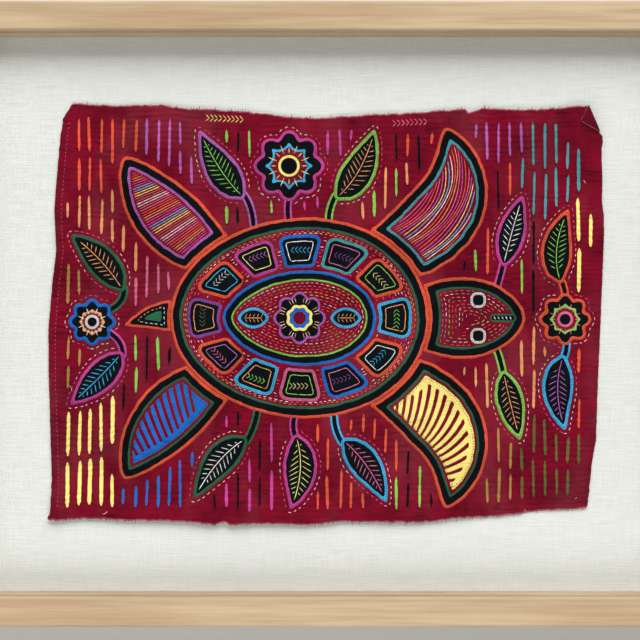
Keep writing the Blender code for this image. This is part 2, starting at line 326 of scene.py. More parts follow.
def depth(outline, reach=10.0):
    """How deep inside an outline each place of the grid is, in millimetres. Outside it is negative."""
    field = np.full(X.shape, -reach)
    low, high = outline.min(0) - reach, outline.max(0) + reach
    rows = slice(*np.searchsorted(GRID_Y, (low[1], high[1])))
    columns = slice(*np.searchsorted(GRID_X, (low[0], high[0])))
    x, y = X[rows, columns], Y[rows, columns]
    nearest, inside = np.full(x.shape, 1e9), np.zeros(x.shape, bool)
    for (ax, ay), (bx, by) in zip(outline, np.roll(outline, -1, axis=0)):
        ex, ey = bx - ax, by - ay
        if ex * ex + ey * ey < 1e-9:
            continue
        share = np.clip(((x - ax) * ex + (y - ay) * ey) / (ex * ex + ey * ey), 0, 1)
        nearest = np.minimum(nearest, (x - ax - share * ex) ** 2 + (y - ay - share * ey) ** 2)
        if abs(ey) > 1e-9:
            inside ^= ((ay > y) != (by > y)) & (x < ax + (y - ay) * ex / ey)
    field[rows, columns] = np.maximum(np.where(inside, 1, -1) * np.sqrt(nearest), -reach)
    return field


def softened(field, times=1):
    """The field with its corners rounded by averaging neighbours."""
    for _ in range(times):
        for axis in (0, 1):
            field = (np.roll(field, 1, axis) + 2 * field + np.roll(field, -1, axis)) / 4
    return field


def sampled(field, x, y):
    """A field's value between the grid's places."""
    u = np.clip((np.asarray(x) - GRID_X[0]) / STEP, 0, len(GRID_X) - 1.001)
    v = np.clip((np.asarray(y) - GRID_Y[0]) / STEP, 0, len(GRID_Y) - 1.001)
    i, j = u.astype(int), v.astype(int)
    u, v = u - i, v - j
    near = field[j, i] * (1 - u) + field[j, i + 1] * u
    far = field[j + 1, i] * (1 - u) + field[j + 1, i + 1] * u
    return near * (1 - v) + far * v


def bar_field(ax, ay, bx, by, radius):
    """Depth inside a round-ended bar."""
    ex, ey = bx - ax, by - ay
    share = np.clip(((X - ax) * ex + (Y - ay) * ey) / (ex * ex + ey * ey), 0, 1)
    return radius - np.hypot(X - ax - share * ex, Y - ay - share * ey)


PATCHES = sorted(
    name
    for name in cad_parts
    if name.startswith(("turtle", "front", "rear", "tail", "leaf", "flower"))
)
DEPTHS = {
    name: softened(depth(outline_of(name)), 2)
    + 0.28 * noise(X, Y, 8, 8, 60 + number)
    + 0.22 * noise(X, Y, 2.5, 2.5, 90 + number)
    for number, name in enumerate(PATCHES)
}
print(len(PATCHES), "patches on a grid of", X.shape)

# %% [markdown]
# ## The lie of the cloth
# The cloth lies on the linen in low ridges, and between the rows of stitches it puckers in small creases
# that run from side to side. A cloth simulation would drape it, but a panel that is stitched through all its
# layers keeps the shape of its sewing, so each ridge is listed. The field SURFACE is kept up to date
# as layers go on, so that later stitches lie on them.

# %% Height of the cloth
LINEN_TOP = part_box("linen_mount")[1].z / MM
CLOTH_TOP = LINEN_TOP + 1.3
CREASE_PITCH = 4.3
CREASE_DEPTH = 0.75
CREASE_HALF_WIDTH = 0.9
# Ridges in mm: x, y, heading in degrees, half length, half width, height.
RIDGES = [
    (-150, -158, 4, 80, 20, 2.2),
    (-40, -160, 0, 70, 18, 2.6),
    (70, -158, 2, 60, 16, 1.8),
    (-206, -152, 50, 26, 14, 2.4),
    (160, -100, 6, 55, 13, 1.4),
    (178, -128, 3, 40, 12, 1.2),
    (200, 146, 113, 34, 20, 2.8),
    (120, 152, 2, 70, 15, 1.0),
    (-70, 152, 176, 90, 15, 0.9),
    (-203, 20, 88, 110, 12, 1.5),
    (-150, -96, 4, 50, 13, 1.2),
    (-10, 10, 74, 140, 34, 1.3),
    (110, 20, 96, 110, 26, 1.2),
    (-110, 30, 100, 110, 24, 1.1),
    (206, 60, 90, 60, 14, 1.3),
]


# Creases fade out within 3.5 mm of a motif, whose layers keep the cloth flat.
FREE = softened(np.clip(-np.max(list(DEPTHS.values()), axis=0) / 3.5, 0, 1), 3)


def creases(x, y):
    """Narrow valleys from side to side that come and go along their length."""
    wander = 2.2 * noise(x, y, 30, 22, 3) + 0.8 * noise(x, y, 9, 9, 4)
    nearest = np.abs(np.mod((y + wander) / CREASE_PITCH, 1) - 0.5) * CREASE_PITCH
    strength = np.clip(0.5 + 1.2 * noise(x, y, 11, 5.5, 5) + 0.5 * noise(x, y, 60, 40, 6), 0, 1)
    return CREASE_DEPTH * strength * np.exp(-((nearest / CREASE_HALF_WIDTH) ** 2)) * sampled(FREE, x, y)


def ground(x, y):
    """Height of the cloth's face in millimetres."""
    height = np.full(np.shape(x), CLOTH_TOP)
    for centre_x, centre_y, heading, half_length, half_width, rise in RIDGES:
        turn = math.radians(heading)
        dx, dy = x - centre_x, y - centre_y
        along = dx * math.cos(turn) + dy * math.sin(turn)
        across = dy * math.cos(turn) - dx * math.sin(turn)
        height = height + rise * np.exp(-((along / half_length) ** 2) - (across / half_width) ** 2)
    return height + 0.25 * noise(x, y, 46, 30, 9) + 0.08 * noise(x, y, 7, 5, 7) - creases(x, y)


SURFACE = ground(X, Y)

# %% [markdown]
# ## Cutting layers out of the grid
# A maker cuts each layer with scissors. Boolean cuts would do the same, but they are slow and often fail on
# thin cloth. Here a layer starts as the grid's triangles, and cutting it at a level of a field puts new
# points exactly on that level, so a line of colour that is only 2 mm wide has clean edges.

# %% Cut a mesh at a level of a field


def grid_triangles(field, stride=1):
    """Rows and columns of the grid's places near the field's inside, and triangles between them."""
    part = field[:, ::stride]
    rows, columns = part.shape
    numbers = np.arange(rows * columns).reshape(rows, columns)
    corners = [numbers[:-1, :-1], numbers[:-1, 1:], numbers[1:, 1:], numbers[1:, :-1]]
    flat = part.ravel()
    used = np.max([flat[corner] for corner in corners], axis=0) > 0
    a, b, c, d = (corner[used] for corner in corners)
    even = (np.add.outer(np.arange(rows - 1), np.arange(columns - 1)) % 2 == 0)[used]
    first = np.where(even[:, None], np.stack([a, b, c], 1), np.stack([a, b, d], 1))
    second = np.where(even[:, None], np.stack([a, c, d], 1), np.stack([b, c, d], 1))
    faces = np.concatenate([first, second])
    kept, faces = np.unique(faces, return_inverse=True)
    place = (kept // columns, kept % columns * stride)
    return place, faces.reshape(-1, 3)


def cut_at(values, faces, column, level):
    """Splits the triangles that cross a level. values has one row per point and one column per field."""
    side = values[:, column] - level
    side = np.where(np.abs(side) < 1e-6, 1e-6, side)
    above = (side > 0)[faces]
    count = above.sum(1)
    crossing = (count == 1) | (count == 2)
    if not crossing.any():
        return values, faces
    lone = np.where(count[crossing] == 1, above[crossing].argmax(1), (~above[crossing]).argmax(1))
    order = (lone[:, None] + np.arange(3)) % 3
    a, b, c = np.take_along_axis(faces[crossing], order, 1).T
    pairs = np.sort(np.concatenate([np.stack([a, b], 1), np.stack([a, c], 1)]), axis=1)
    edges, index = np.unique(pairs, axis=0, return_inverse=True)
    share = (side[edges[:, 0]] / (side[edges[:, 0]] - side[edges[:, 1]]))[:, None]
    fresh = values[edges[:, 0]] * (1 - share) + values[edges[:, 1]] * share
    ab, ac = (index.ravel() + len(values)).reshape(2, -1)
    split = np.concatenate([np.stack(t, 1) for t in ((a, ab, ac), (ab, b, c), (ab, c, ac))])
    return np.concatenate([values, fresh]), np.concatenate([faces[~crossing], split])


def with_rim(points, faces, drop):
    """The surface with a turned-down edge, so that a layer looks as thick as it is."""
    edges = np.concatenate([faces[:, [0, 1]], faces[:, [1, 2]], faces[:, [2, 0]]])
    keys = np.sort(edges, axis=1)
    _, first, uses = np.unique(keys, axis=0, return_index=True, return_counts=True)
    border = edges[first[uses == 1]]
    used, local = np.unique(border, return_inverse=True)
    local = local.reshape(-1, 2) + len(points)
    low = points[used] - (0, 0, drop)
    walls = [(b, a, la, lb) for (a, b), (la, lb) in zip(border, local)]
    return np.concatenate([points, low]), list(faces) + walls


# %% [markdown]
# ## The panel's cloth
# The red cloth runs under every motif. Its cut edges are a little rough, more so at the top and bottom, and
# its top right corner is turned over onto its face: a small roll at the fold and then a loose triangle that
# shows the duller wrong side. The corner could be bent over by a hook or a simulation. Rows of points between
# its three corners give it the same form and keep its edges sharp.

# %% Red ground
OUTLINE = outline_of("mola_cloth", up=-1)
CLOTH = softened(depth(OUTLINE))
raw = np.clip((np.abs(Y) - 110) / 20, 0, 1)
CLOTH = CLOTH + (0.2 + 0.45 * raw) * noise(X, Y, 2.9, 2.9, 11) * np.exp(-np.abs(CLOTH) / 3)

place, faces = grid_triangles(CLOTH, stride=3)
values = np.stack([X[place], Y[place], CLOTH[place]], 1)
values, faces = cut_at(values, faces, 2, 0.0)
faces = faces[values[faces, 2].mean(1) > 0]
points = np.column_stack([values[:, :2], ground(values[:, 0], values[:, 1])])
points, cloth_faces = with_rim(points, faces, 0.7)
print("red ground:", len(cloth_faces), "faces")

# %% Turned-over corner
FOLD_TOP, FOLD_LOW, FOLD_TIP = (np.array(p) for p in ((197.8, 157.2), (206.1, 137.8), (192.4, 145.7)))
outwards = np.array([0.92, 0.39])
# The roll at the fold: how far it bulges outwards and how high it is above the cloth, in mm.
ROLL = [(0.0, -0.1), (0.55, 0.2), (0.75, 0.7), (0.45, 1.2), (-0.2, 1.45)]
ACROSS = 13
shares = np.linspace(0, 1, ACROSS)
rows = []
for bulge, lift in ROLL:
    line = [FOLD_TOP + (FOLD_LOW - FOLD_TOP) * share + outwards * bulge for share in shares]
    rows.append([(x, y, ground(x, y) + lift) for x, y in line])
for inwards in np.linspace(0.1, 1, 8):
    left = FOLD_TOP + (FOLD_TIP - FOLD_TOP) * inwards
    right = FOLD_LOW + (FOLD_TIP - FOLD_LOW) * inwards
    line = [left + (right - left) * share for share in shares]
    lift = 1.5 + 0.9 * inwards
    rows.append([(x, y, ground(x, y) + lift + 0.15 * noise(x, y, 5, 5, 21)) for x, y in line])
flap_faces = [(a, d, c, b) for a, b, c, d in quads(len(rows), ACROSS, len(points))]
points = np.concatenate([points, np.array(rows, float).reshape(-1, 3)])
paint = [0] * len(cloth_faces) + [1] * len(flap_faces)
wrong_side = cotton("cotton_wrong_side", shade(COLOURS["red"], 0.78), 1.1, 0.8)
both = [CLOTHS["red"], wrong_side]
mola = add_piece("mola_ground", points, [*cloth_faces, *flap_faces], both, paint)
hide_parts("mola_cloth")
print("turned-over corner:", len(flap_faces), "faces")

# %% [markdown]
# ## Motifs
# A motif is a stack of layers, each cut a little smaller than the one below and hemmed down, so that a rim
# of every colour shows. It could be built as separate cloths on top of each other. They would be hidden but
# for their rims, so here a motif is one skin, and the depths at which its colour changes are listed. A groove
# at each change and a rolled edge give the padded look of folded and stitched cloth.

# %% Build a piece from its layers
PLATEAU = 0.75
GROOVE = 0.24
GROOVE_HALF_WIDTH = 0.6


def padded_lift(fields, layers, x, y):
    """Height of a motif above the ground, from its layers' fields at each point."""
    lift = PLATEAU * (1 - np.exp(-np.maximum(fields[:, 0], 0) / 0.7)) + 0.12
    for number, (_, rings) in enumerate(layers):
        for level, _colour in rings:
            if number or level:
                lift = lift - GROOVE * np.exp(-(((fields[:, number] - level) / GROOVE_HALF_WIDTH) ** 2))
    return lift + 0.06 * noise(x, y, 2.6, 2.6, 31)


def build_layers(name, layers, node=None, lift=padded_lift, drop=0.5):
    """layers: (field, [(depth, colour or function of x and y giving colours), ...]), outermost first."""
    base, outer_rings = layers[0]
    place, faces = grid_triangles(base)
    values = np.column_stack([X[place], Y[place], *(layer[0][place] for layer in layers)])
    for number, (_, rings) in enumerate(layers):
        for level, _colour in rings:
            values, faces = cut_at(values, faces, number + 2, level)
        if not number:
            faces = faces[values[faces, 2].mean(1) > 0]
    centres = values[faces].mean(1)
    colours = np.full(len(faces), "black", dtype=object)
    for number, (_, rings) in enumerate(layers):
        for level, colour in rings:
            inside = centres[:, number + 2] > level
            if callable(colour):
                colours[inside] = colour(centres[inside, 0], centres[inside, 1])
            else:
                colours[inside] = colour
    used, faces = np.unique(faces, return_inverse=True)
    values, faces = values[used], faces.reshape(-1, 3)
    x, y = values[:, 0], values[:, 1]
    height = ground(x, y) + lift(values[:, 2:], layers, x, y)
    names = sorted(set(colours))
    paint = [names.index(colour) for colour in colours]
    points, all_faces = with_rim(np.column_stack([x, y, height]), faces, drop)
    outer = outer_rings[0][1]
    rim = names.index(outer if isinstance(outer, str) else colours[0])
    paint = paint + [rim] * (len(all_faces) - len(faces))
    piece = add_piece(f"{name}_layers", points, all_faces, [CLOTHS[n] for n in names], paint)
    if node:
        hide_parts(node)
    inside = base > 0.4
    stack = np.column_stack([layer[0][inside] for layer in layers])
    SURFACE[inside] = SURFACE[inside] + lift(stack, layers, X[inside], Y[inside])


def picked(numbers, names):
    """A colouring that looks up the number of each place on the grid in a list of names."""
    names = np.array(names, dtype=object)
    return lambda x, y: names[numbers[cell(x, y)]]


# %% [markdown]
# Makers cut a few simple shapes again and again. The fields know them as formulas: corners that are rounded
# where two edges meet, a scalloped flower, a pointed leaf and the places beside a curved line.

# %% Shapes


def rounded(a, b, radius):
    """Depth inside both a and b, with a round corner where their edges meet."""
    corner = np.hypot(np.maximum(radius - a, 0), np.maximum(radius - b, 0))
    return np.maximum(radius, np.minimum(a, b)) - corner


def petals(x, y, radius, count, cut, turn=0.0):
    """Depth inside a scalloped round flower."""
    angle = np.arctan2(Y - y, X - x) + turn
    return radius * (1 - cut * (1 - np.abs(np.cos(count * angle / 2)))) - np.hypot(X - x, Y - y)


def almond(ax, ay, bx, by, width):
    """Depth inside a pointed leaf from a to b, which is where two circles overlap."""
    half = math.hypot(bx - ax, by - ay) / 2
    radius = (half * half + width * width) / (2 * width)
    mx, my = (ax + bx) / 2, (ay + by) / 2
    ox, oy = -(by - ay) / (2 * half), (bx - ax) / (2 * half)
    shift = radius - width
    first = radius - np.hypot(X - mx - ox * shift, Y - my - oy * shift)
    second = radius - np.hypot(X - mx + ox * shift, Y - my + oy * shift)
    return np.minimum(first, second)


def curved(root, bend, tip, count=41):
    """Points along a curve that leaves its root towards the bend and reaches its tip from there."""
    share = np.linspace(0, 1, count)[:, None]
    root, bend, tip = (np.array(point, float) for point in (root, bend, tip))
    return root * (1 - share) ** 2 + bend * 2 * share * (1 - share) + tip * share**2


def beside(curve):
    """For each place of the grid, how far along the curve it is and how far to the left of it."""
    best, run, left = np.full(X.shape, 1e9), np.zeros(X.shape), np.zeros(X.shape)
    start = 0.0
    for (ax, ay), (bx, by) in zip(curve, curve[1:]):
        ex, ey = bx - ax, by - ay
        length = math.hypot(ex, ey)
        share = np.clip(((X - ax) * ex + (Y - ay) * ey) / length**2, 0, 1)
        gap = np.hypot(X - ax - share * ex, Y - ay - share * ey)
        closer = gap < best
        best[closer] = gap[closer]
        run[closer] = start + share[closer] * length
        left[closer] = ((Y - ay) * ex - (X - ax) * ey)[closer] / length
        start += length
    return run, left, best


# %% [markdown]
# ### The shell
# A ring of small black panels, each with a border of its own colour, runs round the shell. On cloth each is a
# patch of its own. They could be copies of one shape, but on an oval no two are quite alike, so the sides
# between them join evenly spaced points on two ovals. The middle holds a flower between two leaves.

# %% Turtle shell
SHELL_X, SHELL_Y, SHELL_WIDE, SHELL_HIGH = -20, -3, 98, 76
PANELS = 12
PANEL_COLOURS = [
    "cyan", "orange", "turquoise", "blue", "magenta", "orange", "purple", "orange", "cyan", "pink", "blue",
    "orange",
]
# Depths in the shell at which the ring of panels begins and ends, and the half gap between two panels.
RING_STARTS, RING_ENDS, HALF_GAP = 13.0, 37.5, 2.3
OUTSIDE = -9.0


def run_of(line):
    """How far along a line each of its points is."""
    return np.concatenate([[0], np.cumsum(np.hypot(*np.diff(line, axis=0).T))])


def oval_at(offset, places):
    """Points on the shell's oval moved inwards. A panel is one place long, and 0 is at the right end."""
    turn = np.linspace(0, 2 * math.pi, 721)
    wide, high = SHELL_WIDE - offset, SHELL_HIGH - offset
    run = run_of(np.column_stack([wide * np.cos(turn), high * np.sin(turn)]))
    at = np.interp(np.mod(places, PANELS) * run[-1] / PANELS, run, turn)
    return np.column_stack([SHELL_X + wide * np.cos(at), SHELL_Y + high * np.sin(at)])


shell = DEPTHS["turtle_shell"]
inward, outward = (oval_at(offset, np.arange(PANELS) - 0.5) for offset in (38, 12))
heading = (outward - inward) / np.hypot(*(outward - inward).T)[:, None]
side, ahead = [], []
for (px, py), (hx, hy) in zip(inward, heading):
    side.append((Y - py) * hx - (X - px) * hy)
    ahead.append((X - px) * hx + (Y - py) * hy > -10)
wedge = []
for k in range(PANELS):
    after = (k + 1) % PANELS
    between = np.minimum(side[k], -side[after]) - HALF_GAP
    between = np.where(ahead[k] & ahead[after], between, OUTSIDE)
    wedge.append(rounded(rounded(between, shell - RING_STARTS, 6.5), RING_ENDS - shell, 3.0))
wedge = np.array(wedge)
PANEL_OF = wedge.argmax(0)
panel = softened(np.maximum(wedge.max(0), OUTSIDE), 1) + 0.15 * noise(X, Y, 2.5, 2.5, 33)

rosette = softened(petals(SHELL_X, SHELL_Y, 20, 8, 0.2), 2)
rosette_heart = softened(petals(SHELL_X, SHELL_Y, 10.5, 8, 0.16, math.pi / 8), 2)
shell_leaves = [almond(root, SHELL_Y, tip, SHELL_Y, 7.8) for root, tip in ((3, 27), (-43, -67))]
shell_leaves = softened(np.max(shell_leaves, axis=0), 2)
build_layers(
    "turtle_shell",
    [
        (shell, [(0, "orange"), (2.2, "black"), (7.2, "green"), (8.9, "red")]),
        (panel, [(0, picked(PANEL_OF, PANEL_COLOURS)), (2.2, "black")]),
        (shell - 40.0, [(0, "blue"), (2.0, "black"), (6.4, "lime"), (7.6, "red")]),
        (rosette, [(0, "orchid"), (2.0, "black")]),
        (rosette_heart, [(0, "yellow"), (2.2, "blue"), (5.0, "red")]),
        (shell_leaves, [(0, "cyan"), (1.9, "black")]),
    ],
    "turtle_shell",
)

# %% [markdown]
# ### Head, flippers and tail
# Each limb is cut to its own outline and hemmed round, so its rims follow the plain model. The two lower
# flippers are combs: bright cloth with slits that slant across it and stop short of one edge. Their stripes
# could be painted, but on such panels they are cut through to the red below. The curves down the middle of
# the limbs and leaves are those of the plain model.

# %% Turtle limbs
SPINES = {
    "front_flipper_upper": ((34, 40), (122, 72), (90, 141)),
    "front_flipper_lower": ((34, -46), (122, -78), (90, -147)),
    "rear_flipper_upper": ((-74, 40), (-122, 62), (-153, 119)),
    "rear_flipper_lower": ((-74, -46), (-122, -68), (-153, -125)),
    "leaf_1": ((-62, 88), (-80, 104), (-96, 139)),
    "leaf_2": ((7, 87), (28, 104), (37, 140)),
    "leaf_3": ((-60, -94), (-82, -106), (-100, -140)),
    "leaf_4": ((-23, -91), (-14, -118), (-27, -148)),
    "leaf_5": ((12, -95), (32, -110), (46, -143)),
    "leaf_6": ((178, 23), (168, 48), (184, 80)),
    "leaf_7": ((180, -31), (170, -56), (181, -88)),
    "leaf_8": ((-153, 17), (-168, 42), (-193, 60)),
    "leaf_9": ((-154, -29), (-170, -48), (-194, -69)),
    "leaf_10": ((134, 36), (140, 62), (149, 90)),
    "leaf_11": ((134, -43), (139, -68), (147, -96)),
}


def comb(name, spacing, slant, width, margin):
    """Slits that slant across a flipper, open at its right edge and closed at its left one."""
    run, left, _ = beside(curved(*SPINES[name]))
    strip = width - np.abs(np.mod(run + slant * left, spacing) - spacing / 2)
    field = DEPTHS[name]
    return softened(np.minimum(strip, np.where(left > 0, field - margin - 4.2, field - margin + 1.4)), 1)


def eye(x, y):
    """A rounded square of 11.6 mm."""
    return rounded(5.8 - np.abs(X - x), 5.8 - np.abs(Y - y), 4.6)


head = DEPTHS["turtle_head"]
eyes = np.maximum(eye(115, 10.5), eye(115, -16.5))
mouth = bar_field(127, -3, 141, -3, 3.0)
build_layers(
    "turtle_head",
    [
        (head, [(0, "orange"), (2.2, "black"), (7.2, "green"), (8.8, "red")]),
        (eyes, [(0, "white"), (1.8, "black")]),
        (mouth, [(0, "green"), (1.2, "black")]),
    ],
    "turtle_head",
)
for name, line in (("front_flipper_upper", "turquoise"), ("rear_flipper_upper", "orchid")):
    layers = [(DEPTHS[name], [(0, "orange"), (2.2, "black"), (7.0, line), (8.8, "red")])]
    build_layers(name, layers, name)
for name, fill, spacing in (("front_flipper_lower", "yellow", 6.4), ("rear_flipper_lower", "blue", 6.0)):
    rings = [(0, "orange"), (2.2, "black"), (6.8, "green"), (8.2, "red"), (10.2, fill)]
    slits = comb(name, spacing, 0.5 if fill == "yellow" else -0.5, 1.45, 10.2)
    build_layers(name, [(DEPTHS[name], rings), (slits, [(0, "red")])], name)
build_layers("tail", [(DEPTHS["tail"], [(0, "orange"), (1.9, "black"), (6.4, "green")])], "tail")

# %% [markdown]
# ### Leaves and flowers
# They fill the ground round the turtle, as makers fill every space. Each is a black patch with a bright rim,
# cut to the outline of the plain model's solid. The flowers get a toothed line and a ring at their heart.

# %% Leaves and flowers
# The colours of each leaf's rim and of its veins.
LEAVES = {
    "leaf_1": ("orchid", "lime"), "leaf_2": ("lime", "peach"), "leaf_3": ("green", "white"),
    "leaf_4": ("magenta", "yellow"), "leaf_5": ("cyan", "pink"), "leaf_6": ("orange", "lime"),
    "leaf_7": ("cyan", "orchid"), "leaf_8": ("green", "peach"), "leaf_9": ("magenta", "cyan"),
    "leaf_10": ("magenta", "white"), "leaf_11": ("lime", "peach"),
}
for name, (border, _) in LEAVES.items():
    build_layers(name, [(DEPTHS[name], [(0, border), (2.2, "black")])], name)

# Name, x, y, radius, and the colours of the rim, of the toothed line and of the heart.
FLOWERS = [
    ("flower_1", -28, 112, 27, "magenta", "cyan", "yellow"),
    ("flower_2", 181, -4, 20, "orange", "lime", "pink"),
    ("flower_3", -177, -6, 18, "blue", "peach", "white"),
]
for name, x, y, radius, rim, line, heart in FLOWERS:
    middle = radius * 0.3 - np.hypot(X - x, Y - y)
    rings = [(0, rim), (2.2, "black"), (2.4 + radius * 0.2, line), (3.8 + radius * 0.2, "red")]
    build_layers(name, [(DEPTHS[name], rings), (middle, [(0, heart), (1.9, "black")])], name)
print(len(LEAVES), "leaves and", len(FLOWERS), "flowers")

# %% [markdown]
# Stems join the leaves to what they grow from. They are thin strips with the leaf's own rim. They could run
# on under the motifs, but cloth there would only make a lump, so they end where another motif begins.

# %% Stems
MOTIFS = np.max(list(DEPTHS.values()), axis=0)
# The colour of a stem's rim, and its curve from the leaf to what carries it.
STEMS = [
    ("orchid", (-62, 90), (-56, 82), (-55, 68)), ("lime", (7, 89), (2, 80), (2, 70)),
    ("green", (-60, -96), (-54, -86), (-52, -74)), ("magenta", (-23, -93), (-26, -86), (-24, -78)),
    ("cyan", (12, -97), (6, -88), (6, -76)), ("orange", (178, 25), (181, 20), (181, 12)),
    ("cyan", (180, -33), (183, -26), (182, -18)), ("green", (-153, 19), (-152, 8), (-166, 2)),
    ("magenta", (-154, -31), (-153, -20), (-166, -13)), ("magenta", (134, 38), (132, 28), (128, 16)),
    ("lime", (134, -45), (132, -34), (128, -24)), ("magenta", (-28, 88), (-30, 80), (-28, 68)),
]
STEM_HALF_WIDTH = 3.1
stem, stem_of = np.full(X.shape, OUTSIDE), np.zeros(X.shape, int)
for number, (_, *points) in enumerate(STEMS):
    near = STEM_HALF_WIDTH - beside(curved(*points, 9))[2]
    stem_of[near > stem] = number
    stem = np.maximum(stem, near)
stem_colours = picked(stem_of, [colour for colour, *_ in STEMS])
build_layers(
    "stems", [(np.minimum(stem, 0.5 - MOTIFS), [(0, stem_colours)]), (stem, [(1.5, "black")])]
)
MOTIFS = np.maximum(MOTIFS, stem)

# %% [markdown]
# ## Slits in the red ground
# The empty ground is filled with rows of upright slits that show another colour. A row's slits begin and end
# a little way off the motifs, and long ones are broken in two. Each slit has a folded lip of red cloth. They
# could be cut right through the ground, but nothing shows in them but the cloth just below, so one thin
# layer carries all their lips and colours.

# %% Slits
# The colours of the slits round a place, by turns: x, y, colours.
SLIT_COLOURS = [
    (-175, 125, ["orange"]), (-118, 112, ["orchid"]), (-62, 128, ["lime", "black"]), (2, 128, ["magenta"]),
    (64, 128, ["orange", "black"]), (60, 92, ["peach", "lime"]), (122, 130, ["orchid"]),
    (172, 118, ["turquoise"]), (120, 92, ["black", "orange"]), (196, 30, ["yellow"]),
    (156, 16, ["lime", "black"]), (150, -20, ["peach"]), (196, -60, ["orange"]), (168, -112, ["olive"]),
    (118, -124, ["ochre"]), (66, -128, ["black", "lime"]), (64, -92, ["orange"]), (8, -134, ["orange"]),
    (-58, -132, ["magenta", "black"]), (-122, -136, ["blue"]), (-180, -118, ["yellow"]),
    (-128, -30, ["lime", "black"]), (-134, 20, ["pink"]), (-196, 10, ["ochre"]), (-150, 60, ["peach"]),
]
EARS = [((-92, 148.5), (-60, 147), "yellow"), ((49, 144.2), (79, 145.8), "pink")]
ROW_PITCH, BREAK, LONGEST = 8.6, 5, 41
blocked = np.maximum(MOTIFS, 18 - np.hypot(X - 200, Y - 147))
for start, end, _ in EARS:
    blocked = np.maximum(blocked, bar_field(*start, *end, 3.0))
free = (blocked < -4.9) & (CLOTH > 9.5)
jitter = np.random.default_rng(4)
bars = []
for number, x in enumerate(np.arange(-196, 202, ROW_PITCH)):
    x = x + jitter.uniform(-0.7, 0.7)
    column = free[:, cell(x, 0.0)[1]].astype(int)
    marks = np.flatnonzero(np.diff(np.concatenate([[0], column, [0]])))
    for first, last in zip(marks[::2], marks[1::2]):
        low, high = GRID_Y[first] + jitter.uniform(0, 1.5), GRID_Y[last - 1] - jitter.uniform(0, 1.5)
        if high - low < 6:
            continue
        count = math.ceil((high - low + BREAK) / LONGEST)
        long = (high - low - BREAK * (count - 1)) / count
        for part in range(count):
            bottom = low + part * (long + BREAK) + jitter.uniform(-0.6, 0.6)
            middle = (x, bottom + long / 2)
            spot = min(SLIT_COLOURS, key=lambda spot: math.dist(spot[:2], middle))
            colour = spot[2][number % len(spot[2])]
            wide = (1.35 if colour == "yellow" else 0.95) * jitter.uniform(0.85, 1.15)
            bars.append((x, bottom, x + jitter.uniform(-0.9, 0.9), bottom + long, wide, colour))

LIP = 1.2
slit, slit_of = np.full(X.shape, OUTSIDE), np.zeros(X.shape, int)
for number, (ax, ay, bx, by, wide, _) in enumerate(bars):
    rows = slice(*np.searchsorted(GRID_Y, (ay - 4, by + 4)))
    columns = slice(*np.searchsorted(GRID_X, (min(ax, bx) - 4, max(ax, bx) + 4)))
    share = np.clip((Y[rows, columns] - ay) / (by - ay), 0, 1)
    taper = np.minimum(1, 0.45 + np.minimum(share, 1 - share) * (by - ay) / 5)
    dx, dy = X[rows, columns] - ax - (bx - ax) * share, Y[rows, columns] - ay - (by - ay) * share
    near = wide * taper + LIP - np.hypot(dx, dy)
    slit_of[rows, columns][near > slit[rows, columns]] = number
    slit[rows, columns] = np.maximum(slit[rows, columns], near)


def slit_lift(fields, layers, x, y):
    """A folded lip round each slit and the other cloth a little lower inside it."""
    inside = fields[:, 0]
    lip = 0.26 * np.exp(-(((inside - 0.8) / 0.42) ** 2))
    return 0.24 * np.clip(inside / 0.6, 0, 1) + lip - 0.02


wobble = slit + 0.2 * noise(X, Y, 3.2, 3.2, 51)
slit_colours = picked(slit_of, [bar[-1] for bar in bars])
build_layers("slits", [(wobble, [(0, "red"), (LIP, slit_colours)])], lift=slit_lift, drop=0.2)

# %% [markdown]
# ## Threads
# Embroidery lies on top of the cloth and dips into it at both ends of a stitch, where the needle goes
# through. A thread could be a curve with a round section, but thousands of tubes are heavy, and from a step
# away only their tops show. So a thread is a thin strip with a raised middle that lies on whatever is
# uppermost and runs out to a point at both ends. All threads of one colour are gathered into one piece.

# %% Thread helpers
THREADS = {}


def headings(line):
    """Which way a line runs at each of its points, one unit long."""
    heading = np.gradient(line, axis=0)
    return heading / np.maximum(np.hypot(*heading.T), 1e-9)[:, None]


def left_of(heading):
    """A quarter turn to the left of a heading, or of each of many."""
    return np.stack([-heading[..., 1], heading[..., 0]], -1)


def points_at(line, places):
    """The points of a line that are so many millimetres along it."""
    return np.column_stack([np.interp(places, run_of(line), line[:, axis]) for axis in (0, 1)])


def thread(line, width, colour, rise=0.2):
    """Lays a strip along a line of points. It sinks 0.06 mm into the cloth."""
    line = np.asarray(line, float)
    if len(line) == 2:
        line = line[0] + (line[1] - line[0]) * np.array([0, 0.25, 0.75, 1])[:, None]
    across = left_of(headings(line))
    half, tops = np.full(len(line), width / 2), np.full(len(line), rise)
    half[[0, -1]] *= 0.25
    tops[[0, -1]] = 0.02
    points, faces = THREADS.setdefault(colour, ([], []))
    faces += quads(4, len(line), len(points))
    for side, share in ((-1, 0.0), (-0.6, 0.75), (0.6, 0.75), (1, 0.0)):
        height = sampled(SURFACE, line[:, 0], line[:, 1]) - 0.06 + tops * share + 0.06 * (share > 0)
        points.extend(np.column_stack([line + across * (half * side)[:, None], height]))


def resampled(line, spacing):
    """The line with evenly spaced points."""
    line = np.asarray(line, float)
    long = run_of(line)[-1]
    return points_at(line, np.linspace(0, long, max(2, int(round(long / spacing)) + 1)))


